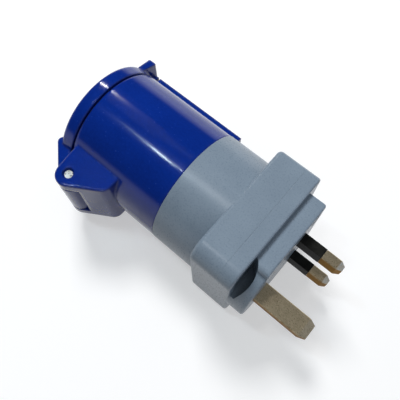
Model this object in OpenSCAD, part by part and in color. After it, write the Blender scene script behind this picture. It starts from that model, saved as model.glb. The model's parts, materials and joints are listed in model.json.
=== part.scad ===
// Compact mains adaptor: a three-pin fused plug on one end of a grey moulded
// body and a blue pin-and-sleeve socket with a sprung lid on the other end.
// X runs along the common axis towards the pins, Y from the hinge to the lid tab,
// Z along the row of the line and neutral pins. The origin is on the plug face.

/* [Socket shell] */
// Outer radius of the socket shell
shell_r = 25.1; // [24:0.1:28]
// Wall of the shell round the contact well
shell_wall = 2.7; // [2.2:0.1:3.2]
// Length of the shell from its rim to the joint with the housing
shell_l = 43.6; // [42:0.1:55]
// Depth of the ring-shaped well behind the rim
well_l = 34; // [30:0.5:35]
// Step between the well and the wider seat of the contact carrier
seat_step = 0.9; // [0.6:0.1:1.2]
// Rounding of the shell's rim
rim_round = 0.6; // [0.2:0.1:1]

/* [Keyway] */
// Width of the keyway groove inside the shell
key_w = 7; // [5:0.5:8]
// Depth of the keyway groove
key_depth = 1.8; // [1:0.1:2]
// Width of the outer rib that covers the keyway
rib_w = 9.8; // [9.4:0.1:14]
// Height of the rib over the shell
rib_h = 2.2; // [1.4:0.1:3]
// How far each side of the rib leans in over half its height
rib_taper = 0.4; // [0.1:0.1:0.8]
// Distance from the rim to the start of the rib
rib_start = 0.3; // [0.2:0.1:6]
// How far the rib reaches over the neck of the housing
rib_over = 1.2; // [0.4:0.1:3]

/* [Contacts] */
// Radius of the core that carries the contacts
core_r = 17.9; // [16:0.1:18]
// How far the core's face lies behind the rim
core_recess = 2.5; // [1:0.1:4]
// Thickness of the carrier's base
carrier_base_t = 4.5; // [3:0.1:5]
// Radius of the circle on which the contacts sit
contact_circle_r = 8.75; // [8.4:0.05:10]
// Bore radius of the line and neutral contacts
line_bore_r = 2.55; // [2:0.05:2.8]
// Bore radius of the earth contact
earth_bore_r = 3.05; // [2.4:0.05:3.3]
// Wall of the contact tubes
contact_wall = 1.2; // [0.8:0.1:1.4]
// Depth of the contact bores
contact_bore_l = 27; // [20:0.5:28]
// Length of the funnel-shaped entry in front of each contact
entry_l = 3; // [2:0.1:5]
// Extra radius of the entry over the contact bore, at the contact
entry_extra = 0.2; // [0.1:0.05:0.6]
// How much wider each entry is at the core's face
entry_flare = 0.6; // [0.2:0.1:1]
// Chamfer round the core's face
core_chamfer = 0.4; // [0.2:0.1:1]
// Length of the terminal behind the carrier
terminal_l = 7; // [5:0.1:9]
// Extra radius of the terminal over the contact tube
terminal_extra = 0.6; // [0.3:0.1:0.8]

/* [Terminal screws] */
// Head radius
terminal_head_r = 2.2; // [1.8:0.1:2.4]
// Head height
terminal_head_h = 1.6; // [1:0.1:2.5]
// Shank radius
terminal_shank_r = 1.2; // [0.8:0.1:1.5]
// Shank length in the terminal
terminal_shank_l = 5; // [3:0.1:6]
// Width of the driver slot
slot_w = 0.7; // [0.5:0.05:1]
// Depth of the driver slot
slot_depth = 0.8; // [0.4:0.05:0.9]

/* [Plug housing] */
// How far the round neck stands past the shell's surface
neck_step = 0.1; // [0:0.1:1.5]
// Length of the neck from the joint to the flange
neck_l = 20.3; // [16:0.1:30]
// Wall of the neck and the flange
housing_wall = 3; // [2.4:0.1:3.4]
// Wall of the spigot that clamps the contact carrier
spigot_wall = 2.4; // [1.5:0.1:3]
// Thickness of the housing's part of the flange
rear_flange_t = 12.1; // [9:0.1:18]
// Thickness of the flange's closed back wall
back_wall_t = 2.5; // [2:0.1:4]
// How far each side of the flange stands past the neck
flange_side = 0.1; // [0:0.1:4]
// How far the flange's end at the line and neutral pins lies inside the neck's surface
flange_inset = 1.2; // [0:0.1:2.4]
// How far the flange's end at the earth pin stands past the neck
flange_heel = 1.6; // [1:0.1:4]
// Corner radius at the line and neutral end
corner_top_r = 2.4; // [1.6:0.1:5]
// Corner radius at the earth end
corner_low_r = 7.2; // [3:0.1:9]
// Rounding of the flange's front edges
edge_round = 0.9; // [0.3:0.1:1.4]
// Rounding of the flange's rear edges
rear_round = 1.6; // [0.3:0.1:2]

/* [Pin plate] */
// Thickness of the plate's part of the flange
front_flange_t = 6.05; // [5:0.05:9]
// How far the plug face stands in front of the flange
face_t = 7.15; // [6:0.05:9]
// Thickness of the solid slab that holds the pins
slab_t = 9; // [8.8:0.1:10]
// Step from each side of the flange in to the plug face
face_inset = 3; // [2:0.1:3.8]
// Step from the flange's end at the line and neutral pins in to the plug face
face_top_inset = 6.2; // [5:0.1:7]
// Distance from the axis to the face's shoulder at the earth end
face_low = 15.6; // [15:0.1:18]
// Corner radius of the face's shoulders
face_corner_r = 2.4; // [2:0.1:5]
// Rounding of the edge round the plug face
face_round = 0.9; // [0.3:0.1:1.2]
// Distance from the axis to the centre of the round tongue, towards earth
tongue_offset = 4.5; // [2.5:0.1:6]
// Radius of the finger scoops beside the tongue
scoop_r = 9.1; // [8:0.1:9.4]
// Distance from the plug face to the scoops' axis
scoop_back = 12.4; // [11.5:0.1:13]
// Distance from the flange's earth end in to the scoops' axis
scoop_in = 7.1; // [6:0.1:8]
// How far the scoops sink into the flange
scoop_sink = 0.6; // [0.2:0.1:0.9]
// Width of the web left between the two scoops
web_w = 14; // [10:0.5:18]

/* [Pins] */
// Distance from the axis to the row of line and neutral pins
pin_row_y = 6.16; // [5.8:0.02:7]
// Distance between line and neutral pins
pin_pitch = 22.2; // [22:0.1:22.4]
// Distance from the earth pin to the row of line and neutral pins
earth_pitch = 22.2; // [22:0.1:22.4]
// Line and neutral pins: width across Z
live_w = 6.35; // [6.2:0.05:6.5]
// Line and neutral pins: thickness across Y
live_t = 3.97; // [3.9:0.01:4.05]
// Line and neutral pins: length from the plug face
live_l = 17.7; // [17.2:0.1:18.2]
// Length of the insulating sleeves from the plug face
sleeve_l = 9.4; // [8:0.1:10]
// Thickness of the insulating sleeves
sleeve_t = 0.55; // [0.4:0.05:0.7]
// Earth pin: width across Y
earth_w = 7.95; // [7.8:0.05:8.05]
// Earth pin: thickness across Z
earth_t = 3.97; // [3.9:0.01:4.05]
// Earth pin: length from the plug face
earth_l = 22.7; // [22.2:0.1:23.2]
// Length of the chamfer at the line and neutral tips
live_tip = 2.1; // [1.5:0.1:2.5]
// Length of the chamfer at the earth tip
earth_tip = 2.9; // [2:0.1:3.2]
// How far the tip chamfers cut in on each side
tip_in = 1; // [0.6:0.05:1.2]
// Chamfer along the pins' long edges
pin_edge = 0.3; // [0.1:0.05:0.5]
// Thickness of the pins' heads behind the slab
head_t = 1.3; // [1:0.1:2]
// How far the pins' heads reach past the pin on each side
head_extra = 1.3; // [0.8:0.1:1.6]

/* [Fuse] */
// Distance from the axis to the fuse, towards earth
fuse_low = 5.4; // [5.2:0.05:5.6]
// Radius of the fuse caps
fuse_cap_r = 3.17; // [3:0.01:3.2]
// Length of the fuse
fuse_l = 25.4; // [24.5:0.1:26]
// Length of each fuse cap
fuse_cap_l = 5.5; // [5:0.1:6.5]
// Wall of the fuse caps
fuse_cap_wall = 0.35; // [0.2:0.05:0.5]
// Thickness of the fuse carrier's cover
cover_t = 2; // [1.6:0.1:2.4]
// How far the cover reaches past the fuse at each end
cover_end = 1.3; // [1:0.1:2]
// Wall of the carrier's cheeks
cheek_t = 1; // [0.8:0.1:1.3]
// Length of the carrier's cheeks along the fuse
cheek_l = 11; // [8:0.5:12]
// Width of the pry notch in the cover
notch_w = 3; // [2:0.1:4]
// Depth of the pry notch in the cover
notch_depth = 0.9; // [0.5:0.1:1.2]
// Thickness of the clips' sheet
clip_t = 0.6; // [0.4:0.05:0.8]
// Width of the clips along the fuse
clip_w = 3.8; // [3:0.1:4.2]
// How far the clips' bases reach past their leaves
clip_foot = 3.4; // [3:0.1:4]

/* [Straps] */
// Thickness of the connecting straps
strap_t = 0.8; // [0.5:0.1:1]
// Width of the connecting straps
strap_w = 4.6; // [4:0.1:5]
// Distance from the clip bases back to the line strap's crossing
crossing_back = 5; // [3:0.5:7]

/* [Face screws] */
// Distance from the face's edge at the line and neutral pins in to the face screws
screw_top_in = 4.8; // [4.2:0.1:5]
// Distance from each side of the face in to the face screw
screw_side_in = 4.7; // [4.5:0.1:5]
// Head radius of the face screws
screw_head_r = 2.6; // [2:0.1:2.8]
// Head height of the face screws
screw_head_h = 1.8; // [1:0.1:2.4]
// Depth of the recess over the screw heads
screw_recess = 3.2; // [2:0.1:4]
// Shank radius of the face screws
screw_shank_r = 1.4; // [1.2:0.1:1.6]
// Shank length of the face screws
screw_shank_l = 14; // [11:0.5:16]
// Radius of the screw bosses
screw_boss_r = 3.4; // [2.8:0.1:3.8]

/* [Lid] */
// How far the lid's edge stands past the shell's surface
lid_proud = 0.1; // [0:0.1:1]
// Open seam between the lid and the rim
seam = 0.7; // [0.5:0.1:1.2]
// Height of the lid from the seam to its outer face
lid_h = 5.6; // [4.5:0.1:8]
// Thickness of the lid's plate
lid_plate_t = 2; // [1.6:0.1:2.2]
// Rounding of the lid's outer edge
lid_round = 1.2; // [0.5:0.1:1.6]
// Radius of the shallow dish in the lid's face
dish_r = 20; // [14:0.5:22]
// Depth of the dish
dish_depth = 0.7; // [0.3:0.1:1]
// Half width of the lifting tab at its tip
tab_half_w = 10.2; // [6:0.1:11]
// How much wider the tab is on each side at its root
tab_flare = 3; // [0.5:0.1:3.4]
// How far the tab stands out past the lid
tab_out = 4; // [2:0.1:6]
// Distance from the lid's edge in to the root of the tab
tab_root = 3.7; // [2:0.1:4.5]
// Thickness of the tab
tab_t = 3.5; // [2:0.1:4.5]
// How far the tab stands proud of the lid's face
tab_proud = 0.5; // [0.2:0.1:1]
// How far the tab's outer side leans in from its tip to its root
tab_lean = 0.9; // [0.8:0.1:1.6]
// Rounding of the tab's tip and its corners
tab_round = 0.9; // [0.4:0.1:1]

/* [Seal] */
// Width of the lid seal
seal_w = 3.2; // [2:0.1:3.6]
// Wall of the lid outside the seal
skirt_wall = 1.4; // [1:0.1:1.8]
// Depth of the seal's seat in the lid
seal_seat = 1.8; // [1.4:0.1:2.4]

/* [Hinge] */
// Distance from the rim back to the hinge axis
hinge_back = 7.65; // [7:0.05:9]
// Distance from the shell's surface out to the hinge axis
hinge_out = 5.95; // [5.8:0.05:7.5]
// Radius of the hinge pin
hinge_pin_r = 1.65; // [1.4:0.05:1.9]
// Half width of the hinge block over its ears
block_half_w = 14.8; // [13:0.1:17]
// How far the ears' rear edge leans out from the pin to the shell
ear_lean = 1.1; // [0:0.1:1.6]
// Thickness of each ear
ear_t = 4.3; // [2.5:0.1:5]
// Radius of the ears round the pin
ear_r = 5.2; // [4.8:0.1:5.6]
// Radius of the block's far corner
block_corner_r = 4.4; // [3.4:0.1:5.4]
// Distance from the hinge axis to the block's far corner along X
block_run = 11.6; // [10.8:0.1:16]
// Distance from the hinge axis to the block's far corner towards the shell
block_rise = 6.15; // [5.8:0.05:7]
// Distance from the hinge axis to the end of the knuckle slot
slot_run = 6.55; // [6:0.05:8]
// Edge rounding of the hinge block
block_round = 0.8; // [0.3:0.1:1]
// Radius of the lid's knuckle
knuckle_r = 5.2; // [4.4:0.05:5.4]
// Radius of the arm's corner on the lid
arm_r = 2; // [1.6:0.1:3]
// How far the arm stands proud of the lid's face
arm_proud = 2.5; // [0.5:0.1:3]
// Distance from the lid's edge in to the arm's corner
arm_in = 3.2; // [2.6:0.1:4.5]
// Width of the spring pocket in the knuckle
pocket_w = 8.4; // [7:0.1:10]
// Depth of the recess over each end of the pin
pin_recess = 0.9; // [0.2:0.1:1.2]
// How much wider than the pin that recess is
pin_ring = 0.55; // [0.3:0.05:0.8]

/* [Spring] */
// Wire radius of the lid spring
wire_r = 0.45; // [0.3:0.05:0.5]
// Gap between the spring's coil and the pin
coil_gap = 0.4; // [0.2:0.05:0.5]
// Number of turns
coil_turns = 4.75; // [2.75:1:5.75]
// Length of the coil along the pin
coil_l = 6.4; // [5:0.1:6.6]

/* [Fits] */
// Gap between pieces of one body that slip together
slip = 0.05; // [0.03:0.01:0.1]
// Gap between pieces that move against each other
running = 0.4; // [0.3:0.05:0.5]
// Radial gap of the knuckle on the hinge pin
pin_running = 0.08; // [0.03:0.01:0.1]
// Gap between the fuse caps and the clips
clip_gap = 0.12; // [0.08:0.01:0.2]
// Gap between the seal and the rim of the closed lid
seal_gap = 0.1; // [0.05:0.01:0.2]

/* [Hidden] */
$fn = 96;
hull_fn = 48;
over = 1;

BLUE = [0.05, 0.14, 0.5];
GREY = [0.5, 0.56, 0.62];
METAL = [0.55, 0.52, 0.46];
BRASS = [0.72, 0.56, 0.28];
BLACK = [0.08, 0.08, 0.09];
CERAMIC = [0.85, 0.83, 0.78];

// Stations along the axis, from the plug face back to the lid
flange_x = -face_t;
parting_x = flange_x - front_flange_t;
flange_back_x = parting_x - rear_flange_t;
joint_x = flange_back_x - neck_l;
rim_x = joint_x - shell_l;
slab_x = -slab_t;
head_x = slab_x - head_t;
well_floor_x = rim_x + well_l;
carrier_back_x = well_floor_x + carrier_base_t;
core_face_x = rim_x + core_recess;
contact_x = core_face_x + entry_l;
terminal_x = carrier_back_x + terminal_l;
skirt_x = rim_x - seam;
lid_face_x = skirt_x - lid_h;
lid_inner_x = lid_face_x + dish_depth + lid_plate_t;
seal_seat_x = skirt_x - seal_seat;
hinge_x = rim_x + hinge_back;

// Distances from the axis
well_r = shell_r - shell_wall;
seat_r = well_r + seat_step;
neck_r = shell_r + neck_step;
lid_r = shell_r + lid_proud;
flange_w = 2 * (neck_r + flange_side);
flange_top = neck_r - flange_inset;
flange_low = neck_r + flange_heel;
face_w = flange_w - 2 * face_inset;
face_top = flange_top - face_top_inset;
tongue_r = flange_low - tongue_offset;
scoop_low = flange_low - scoop_in;
screw_y = face_top - screw_top_in;
screw_z = face_w / 2 - screw_side_in;
hinge_y = -shell_r - hinge_out;
earth_y = pin_row_y - earth_pitch;
live_z = pin_pitch / 2;
fuse_y = -fuse_low;
seal_outer_r = lid_r - skirt_wall;
seal_inner_r = seal_outer_r - seal_w;
line_tube_r = line_bore_r + contact_wall;
earth_tube_r = earth_bore_r + contact_wall;

// Places of the contacts as [y, z]: earth lies at the keyway, opposite the hinge
EARTH_AT = [contact_circle_r, 0];
LINE_AT = [contact_circle_r * cos(120), -contact_circle_r * sin(120)];
NEUTRAL_AT = [contact_circle_r * cos(120), contact_circle_r * sin(120)];

// The fuse and what holds it
fuse_x = -cover_t - slip - fuse_cap_r;
leaf_y = fuse_cap_r + clip_gap;
cover_half_z = fuse_l / 2 + cover_end;
cover_half_y = leaf_y + cheek_t + slip;
clip_mid_z = fuse_l / 2 - fuse_cap_l / 2;
strap_x = head_x - strap_t;

// Hinge block
knuckle_half_w = block_half_w - ear_t - running;
block_corner = [hinge_x + block_run, hinge_y + block_rise];
arm_corner = [lid_face_x - arm_proud + arm_r, -lid_r + arm_in];

// Points of an arc
function arc_points(cx, cy, r, from, to, steps = 6) =
    [for (i = [0:steps]) let (a = from + (to - from) * i / steps) [cx + r * cos(a), cy + r * sin(a)]];

// Solid of revolution about the axis, from points [radius, x]
module turned(points, sides = $fn) {
    rotate([0, 90, 0]) rotate_extrude($fn = sides) polygon(points);
}

// Cylinder along the axis at [y, z]
module rod(r, x0, x1, at = [0, 0]) {
    translate([x0, at[0], at[1]]) rotate([0, 90, 0]) cylinder(r = r, h = x1 - x0);
}

// Cylinder parallel to the hinge pin
module cross_rod(r, half_l) {
    translate([hinge_x, hinge_y, -half_l]) cylinder(r = r, h = 2 * half_l);
}

// Box between two corners
module block(a, b) {
    translate(a) cube(b - a);
}

// Outline in Y and Z, drawn out along X
module drawn(x0, x1) {
    translate([x0, 0, 0]) rotate([90, 0, 90]) linear_extrude(x1 - x0) children();
}

// Outline in X and Y, drawn out along Z
module upright(half_w) {
    translate([0, 0, -half_w]) linear_extrude(2 * half_w) children();
}

// Outline of a disc with rounded edges, as [radius, height]
function puck_points(r, h0, h1, e0, e1) = concat(
    [[0, h0]],
    e0 > 0 ? arc_points(r - e0, h0 + e0, e0, -90, 0, 4) : [[r, h0]],
    e1 > 0 ? arc_points(r - e1, h1 - e1, e1, 0, 90, 4) : [[r, h1]],
    [[0, h1]]);

// Slab with the flange's outline and rounded front and back edges
module flange_slab(x0, x1, e0, e1) {
    hull() for (side = [-1, 1]) {
        translate([0, flange_top - corner_top_r, side * (flange_w / 2 - corner_top_r)])
            turned(puck_points(corner_top_r, x0, x1, e0, e1), hull_fn);
        translate([0, -flange_low + corner_low_r, side * (flange_w / 2 - corner_low_r)])
            turned(puck_points(corner_low_r, x0, x1, e0, e1), hull_fn);
    }
}

// Room inside the flange
module flange_room(x0, x1) {
    block([x0, -flange_low + housing_wall, -flange_w / 2 + housing_wall],
        [x1, flange_top - housing_wall, flange_w / 2 - housing_wall]);
}

// Rounded disc at a place in X and Y, standing along Z
module upright_puck(at, r, half_w, e) {
    translate([at[0], at[1], 0]) rotate_extrude($fn = hull_fn) polygon(puck_points(r, -half_w, half_w, e, e));
}

// Hinge block with its two ears, before the shell's bore is cut
module hinge_block() {
    root_y = -shell_r + block_corner_r;
    rear_x = hinge_x - ear_r - ear_lean + block_round;
    front_x = block_corner[0] + block_corner_r - block_round;
    difference() {
        hull() {
            upright_puck([hinge_x, hinge_y], ear_r, block_half_w, block_round);
            upright_puck(block_corner, block_corner_r, block_half_w, block_round);
            upright_puck([rear_x, root_y], block_round, block_half_w, block_round);
            upright_puck([front_x, root_y], block_round, block_half_w, block_round);
        }
        block([rim_x - over, hinge_y - ear_r - over, -block_half_w + ear_t],
            [hinge_x + slot_run, 0, block_half_w - ear_t]);
    }
}

// Length of the rib over the keyway, which carries on from the lid over the shell
module key_rib(x0, x1, root_r) {
    foot = rib_w / 2 + rib_taper;
    crest = rib_w / 2 - rib_taper;
    drawn(x0, x1)
        polygon([[root_r, -foot], [shell_r, -foot], [shell_r + rib_h, -crest], [shell_r + rib_h, crest],
            [shell_r, foot], [root_r, foot]]);
}

module socket_shell() {
    color(BLUE) difference() {
        union() {
            turned(concat(
                [[0, rim_x]],
                arc_points(shell_r - rim_round, rim_x + rim_round, rim_round, -90, 0, 4),
                [[shell_r, joint_x], [0, joint_x]]));
            hinge_block();
            key_rib(rim_x + rib_start, joint_x + rib_over, well_r);
        }
        rod(well_r, rim_x - over, well_floor_x + over);
        rod(seat_r, well_floor_x, joint_x + over);
        rod(neck_r + slip, joint_x, joint_x + rib_over + over);
        block([rim_x - over, 0, -key_w / 2], [well_floor_x, well_r + key_depth, key_w / 2]);
        cross_rod(hinge_pin_r + slip, block_half_w + over);
        for (side = [-1, 1]) translate([hinge_x, hinge_y, side * block_half_w])
            cylinder(r = hinge_pin_r + pin_ring, h = 2 * pin_recess, center = true);
    }
}

// Seat of a contact in the carrier, with a funnel from the core's face
module contact_hole(at, bore_r, tube_r) {
    entry_r = bore_r + entry_extra;
    past_face = entry_flare * over / entry_l;
    translate([core_face_x - over, at[0], at[1]]) rotate([0, 90, 0])
        cylinder(r1 = entry_r + entry_flare + past_face, r2 = entry_r, h = entry_l + over);
    rod(tube_r + slip, contact_x, carrier_back_x + over, at);
}

module contact_carrier() {
    color(BLUE) difference() {
        turned([[0, core_face_x], [core_r - core_chamfer, core_face_x], [core_r, core_face_x + core_chamfer],
            [core_r, well_floor_x], [seat_r - slip, well_floor_x],
            [seat_r - slip, carrier_back_x], [0, carrier_back_x]]);
        contact_hole(EARTH_AT, earth_bore_r, earth_tube_r);
        contact_hole(LINE_AT, line_bore_r, line_tube_r);
        contact_hole(NEUTRAL_AT, line_bore_r, line_tube_r);
    }
}

// Turned contact: tube in front, terminal with a tapped hole behind
module contact(at, bore_r, tube_r) {
    color(BRASS) difference() {
        union() {
            rod(tube_r, contact_x, carrier_back_x + over, at);
            rod(tube_r + terminal_extra, carrier_back_x, terminal_x, at);
        }
        rod(bore_r, contact_x - over, contact_x + contact_bore_l, at);
        rod(terminal_shank_r + slip, terminal_x - terminal_shank_l - slip, terminal_x + over, at);
    }
}

module earth_contact() contact(EARTH_AT, earth_bore_r, earth_tube_r);
module line_contact() contact(LINE_AT, line_bore_r, line_tube_r);
module neutral_contact() contact(NEUTRAL_AT, line_bore_r, line_tube_r);

// Screw along X with a slotted head; x is the seat of the head, which faces +X
module slotted_screw(x, at, head_r, head_h, shank_r, shank_l) {
    difference() {
        union() {
            rod(head_r, x, x + head_h, at);
            rod(shank_r, x - shank_l, x + over / 2, at);
        }
        translate([x + head_h - slot_depth / 2 + slip, at[0], at[1]])
            cube([slot_depth + slip, 2 * head_r + over, slot_w], center = true);
    }
}

module terminal_screws() {
    color(METAL) for (at = [EARTH_AT, LINE_AT, NEUTRAL_AT])
        slotted_screw(terminal_x + strap_t, at, terminal_head_r, terminal_head_h, terminal_shank_r,
            terminal_shank_l + strap_t - slip);
}

module plug_housing() {
    color(GREY) difference() {
        union() {
            rod(neck_r, joint_x, flange_back_x + rear_round + over);
            rod(seat_r - slip, carrier_back_x, joint_x + over);
            flange_slab(flange_back_x, parting_x, rear_round, 0);
        }
        rod(seat_r - slip - spigot_wall, carrier_back_x - over, flange_back_x + back_wall_t + over);
        difference() {
            flange_room(flange_back_x + back_wall_t, parting_x + over);
            for (side = [-1, 1]) rod(screw_boss_r, flange_back_x, parting_x, [screw_y, side * screw_z]);
        }
        for (side = [-1, 1]) rod(screw_shank_r + slip, -screw_recess - screw_head_h - screw_shank_l - slip,
            parting_x + over, [screw_y, side * screw_z]);
    }
}

// Outline of the plug face without its tongue
module face_body() {
    half_w = face_w / 2;
    intersection() {
        drawn(slab_x, 0) union() {
            translate([-face_low + face_corner_r, -half_w])
                square([face_top + face_low - face_corner_r, face_w]);
            translate([-face_low, -half_w + face_corner_r])
                square([face_corner_r + over, face_w - 2 * face_corner_r]);
            for (side = [-1, 1]) translate([-face_low + face_corner_r, side * (half_w - face_corner_r)])
                circle(r = face_corner_r);
        }
        upright(face_w) polygon(concat(
            [[slab_x, -flange_low], [0, -flange_low]],
            arc_points(-face_round, face_top - face_round, face_round, 0, 90, 4),
            [[slab_x, face_top]]));
        translate([0, flange_top, 0]) rotate([90, 0, 0]) linear_extrude(flange_top + flange_low)
            polygon(concat(
                [[slab_x, -half_w]],
                arc_points(-face_round, -half_w + face_round, face_round, -90, 0, 4),
                arc_points(-face_round, half_w - face_round, face_round, 0, 90, 4),
                [[slab_x, half_w]]));
    }
}

// Round tongue at the earth end
module face_tongue() {
    intersection() {
        translate([0, -tongue_offset, 0]) turned(concat(
            [[0, slab_x], [tongue_r, slab_x]],
            arc_points(tongue_r - face_round, -face_round, face_round, 0, 90, 4),
            [[0, 0]]));
        block([slab_x, -flange_low - over, -face_w / 2 + face_corner_r],
            [0, -face_low + over, face_w / 2 - face_corner_r]);
    }
}

// Finger scoops on both sides of the tongue
module finger_scoops() {
    for (side = [-1, 1]) intersection() {
        translate([-scoop_back, -scoop_low, side > 0 ? web_w / 2 : -face_w])
            cylinder(r = scoop_r, h = face_w - web_w / 2);
        union() {
            block([flange_x, -flange_low - over, -face_w], [over, 0, face_w]);
            block([flange_x - scoop_sink, -flange_low + housing_wall, -face_w / 2],
                [flange_x + over, 0, face_w / 2]);
        }
    }
}

module pin_plate() {
    color(GREY) difference() {
        union() {
            flange_slab(parting_x, flange_x, 0, edge_round);
            face_body();
            face_tongue();
        }
        finger_scoops();
        difference() {
            flange_room(parting_x - over, slab_x);
            for (side = [-1, 1]) rod(screw_boss_r, parting_x, slab_x, [screw_y, side * screw_z]);
            clip_posts();
        }
        for (side = [-1, 1]) {
            rod(screw_shank_r + slip, parting_x - over, over, [screw_y, side * screw_z]);
            rod(screw_head_r + running, -screw_recess - screw_head_h, over, [screw_y, side * screw_z]);
            block([slab_x - over, pin_row_y - live_t / 2 - slip, side * live_z - live_w / 2 - slip],
                [over, pin_row_y + live_t / 2 + slip, side * live_z + live_w / 2 + slip]);
        }
        block([slab_x - over, earth_y - earth_w / 2 - slip, -earth_t / 2 - slip],
            [over, earth_y + earth_w / 2 + slip, earth_t / 2 + slip]);
        block([slab_x - over, fuse_y - cover_half_y - running, -cover_half_z - running],
            [over, fuse_y + cover_half_y + running, cover_half_z + running]);
    }
}

// Posts behind the slab that carry the feet of the fuse clips
module clip_posts() {
    foot_y = leaf_y + clip_t + clip_foot;
    for (side = [-1, 1], end = [-1, 1]) {
        inner_y = fuse_y + side * (cover_half_y + running);
        outer_y = fuse_y + side * foot_y;
        block([head_x, min(inner_y, outer_y), end * clip_mid_z - clip_w / 2],
            [slab_x + over, max(inner_y, outer_y), end * clip_mid_z + clip_w / 2]);
    }
}

// Outline of a bar with a chamfered tip, as [x, distance across]
function tip_points(x0, l, half, tip) =
    [[x0, -half], [l - tip, -half], [l, -half + tip_in], [l, half - tip_in], [l - tip, half], [x0, half]];

// Straight bar with a chamfered tip at +X and chamfered long edges
module pin_bar(x0, l, wy, wz, tip) {
    hy = wy / 2;
    hz = wz / 2;
    intersection() {
        drawn(x0, l) polygon([[-hy, -hz + pin_edge], [-hy + pin_edge, -hz], [hy - pin_edge, -hz],
            [hy, -hz + pin_edge], [hy, hz - pin_edge], [hy - pin_edge, hz], [-hy + pin_edge, hz],
            [-hy, hz - pin_edge]]);
        upright(wz) polygon(tip_points(x0, l, hy, tip));
        translate([0, wy, 0]) rotate([90, 0, 0]) linear_extrude(2 * wy) polygon(tip_points(x0, l, hz, tip));
    }
}

// Flat head behind the slab
module pin_head(wy, wz) {
    hy = wy / 2 + head_extra;
    hz = wz / 2 + head_extra;
    block([head_x, -hy, -hz], [slab_x, hy, hz]);
}

module earth_pin() {
    color(METAL) translate([0, earth_y, 0]) {
        pin_bar(head_x, earth_l, earth_w, earth_t, earth_tip);
        pin_head(earth_w, earth_t);
    }
}

// Pin with a waist under its insulating sleeve
module live_pin(side) {
    color(METAL) translate([0, pin_row_y, side * live_z]) difference() {
        union() {
            pin_bar(head_x, live_l, live_t, live_w, live_tip);
            pin_head(live_t, live_w);
        }
        difference() {
            block([slab_x + head_t, -live_t, -live_w], [sleeve_l, live_t, live_w]);
            block([slab_x, -live_t / 2 + sleeve_t, -live_w / 2 + sleeve_t],
                [sleeve_l + over, live_t / 2 - sleeve_t, live_w / 2 - sleeve_t]);
        }
    }
}

// Insulating sleeve, flush with the metal of the pin
module live_sleeve(side) {
    color(BLACK) translate([0, pin_row_y, side * live_z]) difference() {
        block([slab_x + head_t + slip, -live_t / 2, -live_w / 2], [sleeve_l - slip, live_t / 2, live_w / 2]);
        block([slab_x, -live_t / 2 + sleeve_t - slip, -live_w / 2 + sleeve_t - slip],
            [sleeve_l + over, live_t / 2 - sleeve_t + slip, live_w / 2 - sleeve_t + slip]);
    }
}

module line_pin() live_pin(-1);
module neutral_pin() live_pin(1);
module line_pin_sleeve() live_sleeve(-1);
module neutral_pin_sleeve() live_sleeve(1);

module fuse_carrier() {
    color(GREY) difference() {
        union() {
            block([-cover_t, fuse_y - cover_half_y, -cover_half_z], [0, fuse_y + cover_half_y, cover_half_z]);
            for (side = [-1, 1]) translate([0, fuse_y + side * (leaf_y + cheek_t / 2), 0])
                block([fuse_x - fuse_cap_r / 2, -cheek_t / 2, -cheek_l / 2],
                    [-cover_t + over, cheek_t / 2, cheek_l / 2]);
        }
        block([-notch_depth, fuse_y - notch_w / 2, cover_half_z - notch_w / 2],
            [over, fuse_y + notch_w / 2, cover_half_z + over]);
    }
}

module fuse_tube() {
    color(CERAMIC) translate([fuse_x, fuse_y, -fuse_l / 2 + fuse_cap_wall + slip])
        cylinder(r = fuse_cap_r - fuse_cap_wall - slip, h = fuse_l - 2 * fuse_cap_wall - 2 * slip);
}

module fuse_caps() {
    color(BRASS) for (end = [-1, 1]) translate([fuse_x, fuse_y, end * clip_mid_z]) difference() {
        cylinder(r = fuse_cap_r, h = fuse_cap_l, center = true);
        translate([0, 0, -end * fuse_cap_wall])
            cylinder(r = fuse_cap_r - fuse_cap_wall, h = fuse_cap_l, center = true);
    }
}

// Clip that grips one fuse cap between two straight leaves, open towards the plug face
module fuse_clip(end) {
    foot_y = leaf_y + clip_t + clip_foot;
    translate([0, fuse_y, end * clip_mid_z]) {
        block([strap_x, -foot_y, -clip_w / 2], [head_x, foot_y, clip_w / 2]);
        for (side = [-1, 1]) translate([0, side * (leaf_y + clip_t / 2), 0])
            block([strap_x, -clip_t / 2, -clip_w / 2], [fuse_x + fuse_cap_r / 2, clip_t / 2, clip_w / 2]);
    }
}

module fuse_clip_line() {
    color(BRASS) union() {
        fuse_clip(-1);
        block([strap_x, fuse_y, -clip_mid_z - clip_w / 2],
            [head_x, pin_row_y + live_t / 2, -clip_mid_z + clip_w / 2]);
    }
}

module fuse_clip_load() {
    color(BRASS) fuse_clip(1);
}

// Tab that lies on the terminal of a contact, with a hole for its screw
module strap_tab(at, y0, y1, z0, z1) {
    difference() {
        block([terminal_x, y0, z0], [terminal_x + strap_t, y1, z1]);
        rod(terminal_shank_r + slip, terminal_x - over, terminal_x + strap_t + over, at);
    }
}

module earth_strap() {
    run_y = earth_y + earth_w / 2;
    color(BRASS) {
        block([strap_x, earth_y - earth_w / 2, -strap_w / 2], [head_x, run_y, strap_w / 2]);
        block([terminal_x, run_y - strap_t, -strap_w / 2], [head_x, run_y, strap_w / 2]);
        strap_tab(EARTH_AT, run_y - strap_t, EARTH_AT[0] + earth_tube_r, -strap_w / 2, strap_w / 2);
    }
}

module neutral_strap() {
    run_y = pin_row_y + live_t / 2;
    low_z = NEUTRAL_AT[1] - strap_w / 2;
    high_z = live_z + strap_w / 2;
    color(BRASS) {
        block([strap_x, run_y - live_t, live_z - strap_w / 2], [head_x, run_y, high_z]);
        block([terminal_x, run_y - strap_t, live_z - strap_w / 2], [head_x, run_y, high_z]);
        strap_tab(NEUTRAL_AT, NEUTRAL_AT[0] - line_tube_r, run_y, low_z, high_z);
    }
}

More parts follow.
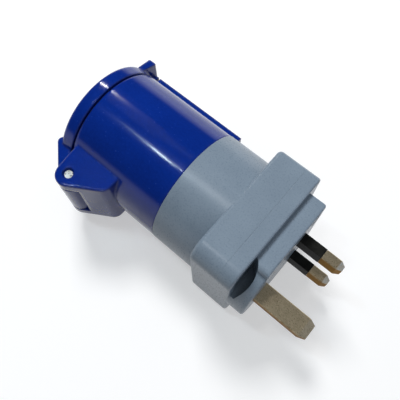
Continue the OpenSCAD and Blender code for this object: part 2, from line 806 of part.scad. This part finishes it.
module line_strap() {
    crossing_x = strap_x - crossing_back;
    y0 = fuse_y - strap_w / 2;
    y1 = fuse_y + strap_w / 2;
    start_z = clip_mid_z + clip_w / 2;
    run_z = LINE_AT[1] - terminal_head_r - running - strap_t;
    color(BRASS) {
        block([crossing_x, y0, start_z - strap_t], [strap_x, y1, start_z]);
        block([crossing_x, y0, run_z], [crossing_x + strap_t, y1, start_z]);
        block([terminal_x, y0, run_z], [crossing_x + strap_t, y1, run_z + strap_t]);
        strap_tab(LINE_AT, min(y0, LINE_AT[0] - line_tube_r), max(y1, LINE_AT[0] + line_tube_r),
            run_z, LINE_AT[1] + strap_w / 2);
    }
}

module face_screws() {
    color(METAL) for (side = [-1, 1])
        slotted_screw(-screw_recess - screw_head_h, [screw_y, side * screw_z], screw_head_r, screw_head_h,
            screw_shank_r, screw_shank_l);
}

// Lid arm with its knuckle, before it is cut clear of the shell and the seal
module lid_arm() {
    difference() {
        union() {
            hull() {
                upright_puck([hinge_x, hinge_y], knuckle_r, knuckle_half_w, block_round);
                upright_puck(arm_corner, arm_r, knuckle_half_w, block_round);
            }
            cross_rod(knuckle_r, knuckle_half_w - block_round);
        }
        rod(seal_outer_r, lid_inner_x, hinge_x + over);
        rod(shell_r + running, skirt_x, hinge_x + slot_run);
    }
}

// Room for the spring inside the knuckle, open towards the shell
module spring_pocket() {
    room_r = hinge_out + running;
    cross_rod(hinge_pin_r + coil_gap + 2 * wire_r + running, pocket_w / 2);
    intersection() {
        cross_rod(room_r, pocket_w / 2);
        block([hinge_x - room_r, hinge_y - running, -pocket_w / 2], [hinge_x + room_r, 0, pocket_w / 2]);
    }
}

// Lifting tab: a flat plate that narrows to a rounded tip
module lid_tab() {
    x0 = lid_face_x - tab_proud;
    x1 = x0 + tab_t;
    root_y = lid_r - tab_root;
    tip_y = lid_r + tab_out;
    lean = atan(tab_flare / (tip_y - root_y));
    intersection() {
        drawn(x0, x1) polygon(concat(
            [[root_y, -tab_half_w - tab_flare]],
            arc_points(tip_y - tab_round, -tab_half_w + tab_round, tab_round, lean - 90, 0, 4),
            arc_points(tip_y - tab_round, tab_half_w - tab_round, tab_round, 0, 90 - lean, 4),
            [[root_y, tab_half_w + tab_flare]]));
        upright(lid_r) polygon(concat(
            [[x1, root_y]],
            arc_points(x1 - tab_round, tip_y - tab_round, tab_round, 0, 90, 4),
            arc_points(x0 + tab_round, tip_y - tab_round, tab_round, 90, 180, 4),
            [[x0 + tab_lean, root_y]]));
    }
}

module lid() {
    color(BLUE) difference() {
        union() {
            turned(concat(
                [[0, lid_face_x + dish_depth], [dish_r, lid_face_x + dish_depth]],
                [[dish_r + dish_depth, lid_face_x]],
                arc_points(lid_r - lid_round, lid_face_x + lid_round, lid_round, -90, 0),
                [[lid_r, skirt_x], [seal_outer_r, skirt_x], [seal_outer_r, seal_seat_x]],
                [[seal_inner_r, seal_seat_x], [seal_inner_r, lid_inner_x], [0, lid_inner_x]]));
            lid_arm();
            lid_tab();
            key_rib(lid_face_x + lid_round, skirt_x, seal_outer_r + skirt_wall / 2);
        }
        cross_rod(hinge_pin_r + pin_running, knuckle_half_w + over);
        spring_pocket();
    }
}

module lid_seal() {
    color(BLACK) turned([[seal_inner_r, seal_seat_x], [seal_outer_r - slip, seal_seat_x],
        [seal_outer_r - slip, rim_x - seal_gap], [seal_inner_r, rim_x - seal_gap]]);
}

module hinge_pin() {
    color(METAL) cross_rod(hinge_pin_r, block_half_w - pin_recess + slip);
}

// Torsion spring: a helix round the pin with one leg on the shell and one on the lid's arm
coil_r = hinge_pin_r + coil_gap + wire_r;
coil_steps = 14;
function coil_point(i) =
    let (a = 180 + 360 * i / coil_steps, along = i / (coil_steps * coil_turns))
    [coil_r * cos(a), coil_r * sin(a), (coil_l / 2 - wire_r) * (1 - 2 * along)];
SPRING_PATH = concat(
    [[-coil_r, hinge_out - wire_r - running / 2, coil_l / 2 - wire_r]],
    [for (i = [0:coil_steps * coil_turns]) coil_point(i)],
    [[-hinge_out + wire_r, coil_r, -coil_l / 2 + wire_r]]);

function unit(v) = v / norm(v);
function path_dir(p, i) = unit(p[min(i + 1, len(p) - 1)] - p[max(i - 1, 0)]);
function ring_points(p, i, r, sides) =
    let (t = path_dir(p, i), u = unit(cross(t, [0, 0, 1])), v = cross(u, t))
    [for (k = [0:sides - 1]) p[i] + r * (cos(360 * k / sides) * u + sin(360 * k / sides) * v)];

// Round wire along a path
module wire(path, r, sides = 8) {
    n = len(path);
    points = [for (i = [0:n - 1]) each ring_points(path, i, r, sides)];
    walls = [for (i = [0:n - 2], k = [0:sides - 1])
        [i * sides + k, i * sides + (k + 1) % sides, (i + 1) * sides + (k + 1) % sides, (i + 1) * sides + k]];
    first = [for (k = [sides - 1:-1:0]) k];
    last = [for (k = [0:sides - 1]) (n - 1) * sides + k];
    polyhedron(points, concat([first, last], walls), convexity = 8);
}

module lid_spring() {
    color(METAL) translate([hinge_x, hinge_y, 0]) wire(SPRING_PATH, wire_r);
}

socket_shell();
contact_carrier();
earth_contact();
line_contact();
neutral_contact();
terminal_screws();
plug_housing();
pin_plate();
earth_pin();
line_pin();
neutral_pin();
line_pin_sleeve();
neutral_pin_sleeve();
fuse_carrier();
fuse_tube();
fuse_caps();
fuse_clip_line();
fuse_clip_load();
earth_strap();
neutral_strap();
line_strap();
face_screws();
lid();
lid_seal();
hinge_pin();
lid_spring();
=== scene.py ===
import json
import math

import bmesh
import bpy
from mathutils import Matrix, Vector


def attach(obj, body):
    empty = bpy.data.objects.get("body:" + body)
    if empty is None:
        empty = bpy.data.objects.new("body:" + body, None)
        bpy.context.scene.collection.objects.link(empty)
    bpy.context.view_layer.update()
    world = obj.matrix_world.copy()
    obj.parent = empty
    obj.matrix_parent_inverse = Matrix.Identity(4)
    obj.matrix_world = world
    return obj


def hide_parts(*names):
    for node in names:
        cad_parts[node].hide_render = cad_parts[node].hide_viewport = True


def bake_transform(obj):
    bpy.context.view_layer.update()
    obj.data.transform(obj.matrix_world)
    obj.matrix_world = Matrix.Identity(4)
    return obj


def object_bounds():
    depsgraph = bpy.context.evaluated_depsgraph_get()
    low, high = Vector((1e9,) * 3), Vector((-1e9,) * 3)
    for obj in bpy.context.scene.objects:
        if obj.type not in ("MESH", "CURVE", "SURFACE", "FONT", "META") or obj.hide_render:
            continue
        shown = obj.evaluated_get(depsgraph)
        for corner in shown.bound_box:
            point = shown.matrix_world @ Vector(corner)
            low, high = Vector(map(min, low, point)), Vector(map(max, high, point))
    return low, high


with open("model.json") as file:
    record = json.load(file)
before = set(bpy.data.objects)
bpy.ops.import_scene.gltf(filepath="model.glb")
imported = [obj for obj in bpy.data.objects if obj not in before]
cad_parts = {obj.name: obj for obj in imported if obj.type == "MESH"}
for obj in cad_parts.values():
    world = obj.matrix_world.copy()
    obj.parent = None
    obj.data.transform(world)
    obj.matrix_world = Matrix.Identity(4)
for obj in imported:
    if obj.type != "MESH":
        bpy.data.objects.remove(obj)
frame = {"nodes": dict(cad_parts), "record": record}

cad_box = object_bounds()
scene = bpy.context.scene
scene.view_settings.view_transform = "Standard"

# lengths are in metres, and colours are linear
BODY_OF = {
    node: body
    for body, nodes in frame["record"]["behaviour"]["bodies"].items()
    for node in nodes
}
SLOT_OF = {item["node"]: item["material_slot"] for item in frame["record"]["subparts"]}

# nodes whose flat facets stand for smooth curves
FACETED = ["socket_shell", "plug_housing", "pin_plate", "lid", "lid_spring"]
# edges sharper than this stay sharp on the smooth copies
CREASE = math.radians(32)
# on the smooth copies, corners this close are welded and edges this short are dissolved
WELD_GAP = 0.000002
SLIVER_LENGTH = 0.000001

# most of a noise texture's values lie between these two
NOISE_LOW = 0.3
NOISE_HIGH = 0.7
NOISE_ROUGHNESS = 0.55
EDGE_SAMPLES = 6

WHITE = (1.0, 1.0, 1.0)
# tint of the lamps that stand for patches of clear sky
COOL = (0.68, 0.87, 1.0)
# tint of the glint on the pins' ends
TIP_BLUE = (0.28, 0.48, 1.0)
# tint of the sky where it isn't white
PALE_SKY = (0.92, 0.96, 1.0)
# the streak and sheen lamps, and then the lid's lamp, lie along these directions
STREAK_ALONG = (0.955, -0.18, 0.28)
LID_GLINT_ALONG = (0.9, 0.3, 0.2)


# small helpers that build shader nodes
def start_material(name):
    material = bpy.data.materials.new(name)
    material.use_nodes = True
    tree = material.node_tree
    return material, tree, tree.nodes["Principled BSDF"]


def set_sockets(shader, values):
    for name, value in values.items():
        shader.inputs[name].default_value = value


def connect(tree, shader, colour, roughness, normal):
    tree.links.new(colour, shader.inputs["Base Color"])
    tree.links.new(roughness, shader.inputs["Roughness"])
    tree.links.new(normal, shader.inputs["Normal"])


def object_point(tree):
    return tree.nodes.new("ShaderNodeTexCoord").outputs["Object"]


# scale counts the noise's cells in a metre along x, y and z
def noise(tree, point, scale, detail):
    stretch = tree.nodes.new("ShaderNodeMapping")
    stretch.inputs["Scale"].default_value = scale
    tree.links.new(point, stretch.inputs["Vector"])
    texture = tree.nodes.new("ShaderNodeTexNoise")
    set_sockets(texture, {"Scale": 1.0, "Detail": detail, "Roughness": NOISE_ROUGHNESS})
    tree.links.new(stretch.outputs["Vector"], texture.inputs["Vector"])
    return texture.outputs["Fac"]


# value runs from start to stop, and the result from low to high
def span(tree, value, low, high, start=NOISE_LOW, stop=NOISE_HIGH):
    node = tree.nodes.new("ShaderNodeMapRange")
    set_sockets(node, {"From Min": start, "From Max": stop, "To Min": low, "To Max": high})
    tree.links.new(value, node.inputs["Value"])
    return node.outputs["Result"]


def mix_colours(tree, factor, first, second):
    node = tree.nodes.new("ShaderNodeMix")
    node.data_type = "RGBA"
    tree.links.new(factor, node.inputs["Factor"])
    for name, value in (("A", first), ("B", second)):
        socket = next(s for s in node.inputs if s.name == name and s.type == "RGBA")
        if isinstance(value, tuple):
            socket.default_value = (*value, 1.0)
        else:
            tree.links.new(value, socket)
    return next(s for s in node.outputs if s.type == "RGBA")


def combine(tree, operation, *values):
    node = tree.nodes.new("ShaderNodeMath")
    node.operation = operation
    for socket, value in zip(node.inputs, values):
        tree.links.new(value, socket)
    return node.outputs["Value"]


# the mean of two noises, stretched to run from 0 to 1
def mean_noise(tree, first, second):
    return combine(tree, "ADD", span(tree, first, low=0, high=0.5), span(tree, second, low=0, high=0.5))


def soft_edge(tree, radius):
    node = tree.nodes.new("ShaderNodeBevel")
    node.samples = EDGE_SAMPLES
    node.inputs["Radius"].default_value = radius
    return node.outputs["Normal"]


def bump(tree, height, depth, strength, under):
    node = tree.nodes.new("ShaderNodeBump")
    set_sockets(node, {"Strength": strength, "Distance": depth})
    tree.links.new(height, node.inputs["Height"])
    tree.links.new(under, node.inputs["Normal"])
    return node.outputs["Normal"]


# glossy moulded plastic: clouded and specked blue, drag lines along the tube, faint waves, dull specks
def make_blue():
    deep_blue = (0.0012, 0.0185, 0.19)
    clear_blue = (0.002, 0.0255, 0.25)
    material, tree, shader = start_material("blue_plastic")
    point = object_point(tree)
    cloud = noise(tree, point, scale=(70, 70, 70), detail=2.0)
    speck = noise(tree, point, scale=(900, 1100, 1100), detail=2.0)
    drag = noise(tree, point, scale=(22, 700, 700), detail=3.0)
    waves = noise(tree, point, scale=(30, 240, 240), detail=1.0)
    colour = mix_colours(tree, mean_noise(tree, cloud, speck), deep_blue, clear_blue)
    dull_speck = span(tree, speck, low=0, high=0.2, start=0.65, stop=0.75)
    roughness = combine(tree, "ADD", span(tree, drag, low=0.09, high=0.18), dull_speck)
    edge = soft_edge(tree, radius=0.0013)
    wavy = bump(tree, waves, depth=0.00012, strength=0.05, under=edge)
    normal = bump(tree, drag, depth=0.00001, strength=0.25, under=wavy)
    connect(tree, shader, colour, roughness, normal)
    set_sockets(shader, {"IOR": 1.34, "Coat Weight": 0.15, "Coat Roughness": 0.05, "Coat IOR": 1.3})
    return material


# satin grey plastic with a fine spark-eroded grain
def make_grey():
    dark_grey = (0.178, 0.23, 0.291)
    light_grey = (0.232, 0.293, 0.359)
    material, tree, shader = start_material("grey_plastic")
    point = object_point(tree)
    cloud = noise(tree, point, scale=(90, 90, 90), detail=4.0)
    speck = noise(tree, point, scale=(1700, 1700, 1700), detail=2.0)
    colour = mix_colours(tree, mean_noise(tree, cloud, speck), dark_grey, light_grey)
    roughness = span(tree, speck, low=0.25, high=0.37)
    normal = bump(tree, speck, depth=0.0001, strength=0.2, under=soft_edge(tree, radius=0.0003))
    connect(tree, shader, colour, roughness, normal)
    set_sockets(shader, {"IOR": 1.46})
    return material


# nickel on brass: dull grained faces that face up or down, and brass-coloured faces that face sideways
def make_pin_metal():
    dull_nickel = (0.38, 0.31, 0.2)
    clear_nickel = (0.64, 0.53, 0.36)
    dull_brass = (0.16, 0.085, 0.008)
    clear_brass = (0.27, 0.15, 0.02)
    grazing_tint = (0.7, 0.61, 0.58, 1.0)
    material, tree, shader = start_material("pin_metal")
    coords = tree.nodes.new("ShaderNodeTexCoord")
    point = coords.outputs["Object"]
    parts = tree.nodes.new("ShaderNodeSeparateXYZ")
    tree.links.new(coords.outputs["Normal"], parts.inputs["Vector"])
    upright = combine(tree, "ABSOLUTE", parts.outputs["Z"])
    patch = noise(tree, point, scale=(300, 500, 500), detail=4.0)
    grain = noise(tree, point, scale=(1800, 2600, 2600), detail=2.0)
    # faces turned up or down take the nickel colour, and faces turned sideways take the brass colour
    nickel_share = combine(tree, "ADD", upright, span(tree, patch, low=-0.15, high=0.15))
    coarse = span(tree, patch, low=0, high=0.4)
    fine = span(tree, grain, low=0, high=0.6, start=0.35, stop=0.7)
    mottle = combine(tree, "ADD", coarse, fine)
    nickel = mix_colours(tree, mottle, dull_nickel, clear_nickel)
    brass = mix_colours(tree, mottle, dull_brass, clear_brass)
    colour = mix_colours(tree, span(tree, nickel_share, low=0, high=1, start=0.35, stop=0.8), brass, nickel)
    roughness = span(tree, grain, low=0.26, high=0.46)
    normal = bump(tree, grain, depth=0.00003, strength=0.3, under=soft_edge(tree, radius=0.0001))
    connect(tree, shader, colour, roughness, normal)
    set_sockets(shader, {"Metallic": 1.0, "Specular Tint": grazing_tint})
    return material


# black satin insulation
def make_sleeve():
    deep_black = (0.0105, 0.0105, 0.0095)
    worn_black = (0.0175, 0.0175, 0.0155)
    material, tree, shader = start_material("pin_sleeve")
    point = object_point(tree)
    grain = noise(tree, point, scale=(2400, 2400, 2400), detail=3.0)
    patch = noise(tree, point, scale=(350, 350, 350), detail=2.0)
    colour = mix_colours(tree, span(tree, patch, low=0, high=1), deep_black, worn_black)
    roughness = span(tree, grain, low=0.36, high=0.55)
    normal = bump(tree, grain, depth=0.00003, strength=0.25, under=soft_edge(tree, radius=0.0002))
    connect(tree, shader, colour, roughness, normal)
    set_sockets(shader, {"Specular IOR Level": 0.06})
    return material


# bare metals share one recipe: a tint that drifts, and a fine turned or rolled grain
def make_metal(name, light, dark, rough, grain_scale, metallic):
    material, tree, shader = start_material(name)
    point = object_point(tree)
    patch = noise(tree, point, scale=(240, 240, 240), detail=3.0)
    grain = noise(tree, point, scale=grain_scale, detail=2.0)
    colour = mix_colours(tree, span(tree, patch, low=0, high=1), dark, light)
    roughness = span(tree, grain, low=rough - 0.07, high=rough + 0.09)
    normal = bump(tree, grain, depth=0.00002, strength=0.25, under=soft_edge(tree, radius=0.00015))
    connect(tree, shader, colour, roughness, normal)
    set_sockets(shader, {"Metallic": metallic})
    return material


# rubber and ceramic share one recipe: matte, with small specks
def make_matte(name, light, dark, rough):
    material, tree, shader = start_material(name)
    speck = noise(tree, object_point(tree), scale=(1800, 1800, 1800), detail=3.0)
    colour = mix_colours(tree, span(tree, speck, low=0, high=1), dark, light)
    roughness = span(tree, speck, low=rough - 0.08, high=rough + 0.08)
    normal = bump(tree, speck, depth=0.00003, strength=0.3, under=soft_edge(tree, radius=0.0002))
    connect(tree, shader, colour, roughness, normal)
    return material


MATERIALS = {
    "blue_plastic": make_blue(),
    "grey_plastic": make_grey(),
    "pin_metal": make_pin_metal(),
    "pin_sleeve": make_sleeve(),
    "contact_brass": make_metal(
        "contact_brass",
        light=(0.62, 0.44, 0.17),
        dark=(0.5, 0.33, 0.11),
        rough=0.3,
        grain_scale=(2600, 500, 500),
        metallic=1.0,
    ),
    "steel": make_metal(
        "steel",
        light=(0.95, 0.97, 0.93),
        dark=(0.6, 0.61, 0.58),
        rough=0.3,
        grain_scale=(1500, 1500, 400),
        metallic=0.7,
    ),
    "seal_rubber": make_matte(
        "seal_rubber", light=(0.009, 0.009, 0.01), dark=(0.004, 0.004, 0.004), rough=0.7
    ),
    "fuse_ceramic": make_matte(
        "fuse_ceramic", light=(0.78, 0.76, 0.69), dark=(0.68, 0.65, 0.57), rough=0.6
    ),
}


# a welded copy of a faceted node, shaded smooth over its curves
def smooth_copy(node):
    source = frame["nodes"][node].data
    mesh = bpy.data.meshes.new(node + "_smooth")
    corners = [tuple(v.co) for v in source.vertices]
    faces = [tuple(p.vertices) for p in source.polygons]
    mesh.from_pydata(corners, [], faces)
    bm = bmesh.new()
    bm.from_mesh(mesh)
    bmesh.ops.remove_doubles(bm, verts=bm.verts, dist=WELD_GAP)
    bmesh.ops.dissolve_degenerate(bm, dist=SLIVER_LENGTH, edges=bm.edges)
    bmesh.ops.recalc_face_normals(bm, faces=bm.faces)
    for face in bm.faces:
        face.smooth = True
    for edge in bm.edges:
        edge.smooth = len(edge.link_faces) == 2 and edge.calc_face_angle() < CREASE
    bm.to_mesh(mesh)
    bm.free()
    mesh.materials.append(MATERIALS[SLOT_OF[node]])
    piece = bpy.data.objects.new(node + "_smooth", mesh)
    scene.collection.objects.link(piece)
    weigh = piece.modifiers.new("weigh", "WEIGHTED_NORMAL")
    weigh.mode = "FACE_AREA_WITH_ANGLE"
    weigh.keep_sharp = True
    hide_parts(node)
    return piece


# the lid's spring: its placing is baked into its mesh, and it is fixed to no body
def wind_spring(piece):
    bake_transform(piece)


for node, obj in frame["nodes"].items():
    if node not in FACETED:
        obj.data.materials.clear()
        obj.data.materials.append(MATERIALS[SLOT_OF[node]])
    elif node == "lid_spring":
        wind_spring(smooth_copy(node))
    else:
        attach(smooth_copy(node), BODY_OF[node])


# camera, solved from the photograph's known pin sizes
def make_camera():
    right = Vector((0.75829, 0.65188, -0.00674))
    down = Vector((0.60553, -0.70813, -0.36315))
    ahead = Vector((-0.2415, 0.2713, -0.93171))
    eye = Vector((0.006367, -0.055718, 0.181936))
    lens = bpy.data.cameras.new("camera")
    lens.sensor_fit = "HORIZONTAL"
    lens.sensor_width = 36.0
    lens.lens = 44.115
    lens.clip_start = 0.01
    camera = bpy.data.objects.new("camera", lens)
    turn = Matrix((right, -down, -ahead)).transposed()
    camera.matrix_world = Matrix.Translation(eye) @ turn.to_4x4()
    scene.collection.objects.link(camera)
    return camera


scene.camera = make_camera()


# one for rays that the eye sees straight, and one for those that it sees mirrored or through glass
def seen_rays(tree):
    rays = tree.nodes.new("ShaderNodeLightPath").outputs
    mirrored = combine(tree, "MAXIMUM", rays["Is Glossy Ray"], rays["Is Transmission Ray"])
    return rays["Is Camera Ray"], mirrored


# pale floor: white to the eye and in reflections as far as it reaches, and it keeps a faint shadow
def make_floor_material():
    lit_grey = (0.18, 0.18, 0.18, 1.0)
    seen_grey = (0.6, 0.6, 0.6, 1.0)
    material = bpy.data.materials.new("floor")
    material.use_nodes = True
    tree = material.node_tree
    tree.nodes.clear()
    out = tree.nodes.new("ShaderNodeOutputMaterial")
    straight, mirrored = seen_rays(tree)
    seen = combine(tree, "MAXIMUM", straight, mirrored)
    plain = tree.nodes.new("ShaderNodeBsdfDiffuse")
    plain.inputs["Color"].default_value = lit_grey
    dim = tree.nodes.new("ShaderNodeBsdfDiffuse")
    dim.inputs["Color"].default_value = seen_grey
    glow = tree.nodes.new("ShaderNodeEmission")
    away = tree.nodes.new("ShaderNodeVectorMath")
    away.operation = "LENGTH"
    tree.links.new(object_point(tree), away.inputs[0])
    strength = span(tree, away.outputs["Value"], low=0.45, high=1.0, start=0.15, stop=0.7)
    tree.links.new(strength, glow.inputs["Strength"])
    both = tree.nodes.new("ShaderNodeAddShader")
    tree.links.new(dim.outputs["BSDF"], both.inputs[0])
    tree.links.new(glow.outputs["Emission"], both.inputs[1])
    choose = tree.nodes.new("ShaderNodeMixShader")
    tree.links.new(seen, choose.inputs["Fac"])
    tree.links.new(plain.outputs["BSDF"], choose.inputs[1])
    tree.links.new(both.outputs["Shader"], choose.inputs[2])
    tree.links.new(choose.outputs["Shader"], out.inputs["Surface"])
    return material


def make_floor():
    level = cad_box[0].z
    reach = 4.0
    signs = [(-1, -1), (1, -1), (1, 1), (-1, 1)]
    corners = [(x * reach, y * reach, level) for x, y in signs]
    mesh = bpy.data.meshes.new("floor")
    mesh.from_pydata(corners, [], [(0, 1, 2, 3)])
    mesh.materials.append(make_floor_material())
    floor = bpy.data.objects.new("floor", mesh)
    scene.collection.objects.link(floor)
    return floor


floor = make_floor()


# a rectangular lamp that faces its target, with its width level or turned to lie along a direction
def area_lamp(
    name, place, target, size, watts, tint=WHITE, along=None, diffuse=True, glossy=True, spread_degrees=180
):
    data = bpy.data.lights.new(name, "AREA")
    data.shape = "RECTANGLE"
    data.size, data.size_y = size
    data.energy = watts
    data.color = tint
    data.spread = math.radians(spread_degrees)
    lamp = bpy.data.objects.new(name, data)
    lamp.visible_diffuse = diffuse
    lamp.visible_glossy = glossy
    back = (Vector(place) - Vector(target)).normalized()
    side = Vector(along) if along else Vector((0, 0, 1)).cross(back)
    side = (side - back * side.dot(back)).normalized()
    over = back.cross(side)
    turn = Matrix((side, over, back)).transposed()
    lamp.matrix_world = Matrix.Translation(Vector(place)) @ turn.to_4x4()
    scene.collection.objects.link(lamp)


# the main light, which shows in no reflection
area_lamp(
    "key",
    place=(-0.48, 0.3, 0.84),
    target=(-0.03, 0.0, 0.0),
    size=(0.28, 0.28),
    watts=7.2,
    glossy=False,
)
# three lamps make the bright streak along the blue tube, with a faint tail and a sharp end
area_lamp(
    "streak",
    place=(-0.342, -0.12, 0.765),
    target=(-0.0555, -0.0057, 0.0245),
    size=(0.045, 0.025),
    watts=0.45,
    tint=COOL,
    along=STREAK_ALONG,
)
area_lamp(
    "streak_tail",
    place=(-0.385, -0.105, 0.75),
    target=(-0.065, -0.0055, 0.0245),
    size=(0.09, 0.02),
    watts=0.06,
    tint=COOL,
    along=STREAK_ALONG,
)
area_lamp(
    "streak_end",
    place=(-0.289, -0.119, 0.778),
    target=(-0.0465, -0.0057, 0.0245),
    size=(0.012, 0.012),
    watts=0.06,
    tint=COOL,
    along=STREAK_ALONG,
)
# cool glints on the ends of the line and neutral pins
area_lamp(
    "tip_glint",
    place=(0.556, 0.244, 0.381),
    target=(0.017, 0.006, 0.003),
    size=(0.1, 0.1),
    watts=0.12,
    tint=TIP_BLUE,
)
# soft sheen on the grey neck, where the streak would run on
area_lamp(
    "sheen",
    place=(-0.211, -0.0835, 0.8),
    target=(-0.0317, -0.0051, 0.0247),
    size=(0.07, 0.07),
    watts=0.54,
    along=STREAK_ALONG,
)
# white patch on the lid's rim
area_lamp(
    "lid_glint",
    place=(-0.515, 0.329, 0.628),
    target=(-0.0935, 0.0018, 0.0251),
    size=(0.045, 0.03),
    watts=0.75,
    along=LID_GLINT_ALONG,
    diffuse=False,
)
# narrow beam for the bright line on the low edge of the hinge ear
area_lamp(
    "edge_glint",
    place=(-0.133, -0.332, 0.644),
    target=(-0.0745, -0.0325, 0.0144),
    size=(0.012, 0.012),
    watts=0.01,
    tint=COOL,
    diffuse=False,
    spread_degrees=2.2,
)


# sky: dim on the socket's side, brighter over the pins, white to the eye and at the mirrored horizon
def make_world():
    world = bpy.data.worlds.new("world")
    world.use_nodes = True
    tree = world.node_tree
    backdrop = tree.nodes["Background"]
    facing = tree.nodes.new("ShaderNodeTexCoord").outputs["Generated"]
    parts = tree.nodes.new("ShaderNodeSeparateXYZ")
    tree.links.new(facing, parts.inputs["Vector"])
    overhead = span(tree, parts.outputs["X"], low=0.06, high=0.38, start=-0.3, stop=0.15)
    horizon = span(tree, parts.outputs["Z"], low=1.0, high=0.0, start=0.05, stop=0.17)
    straight, mirrored = seen_rays(tree)
    white = combine(tree, "MAXIMUM", straight, combine(tree, "MULTIPLY", horizon, mirrored))
    tree.links.new(mix_colours(tree, white, PALE_SKY, WHITE), backdrop.inputs["Color"])
    tree.links.new(combine(tree, "MAXIMUM", overhead, white), backdrop.inputs["Strength"])
    return world


scene.world = make_world()
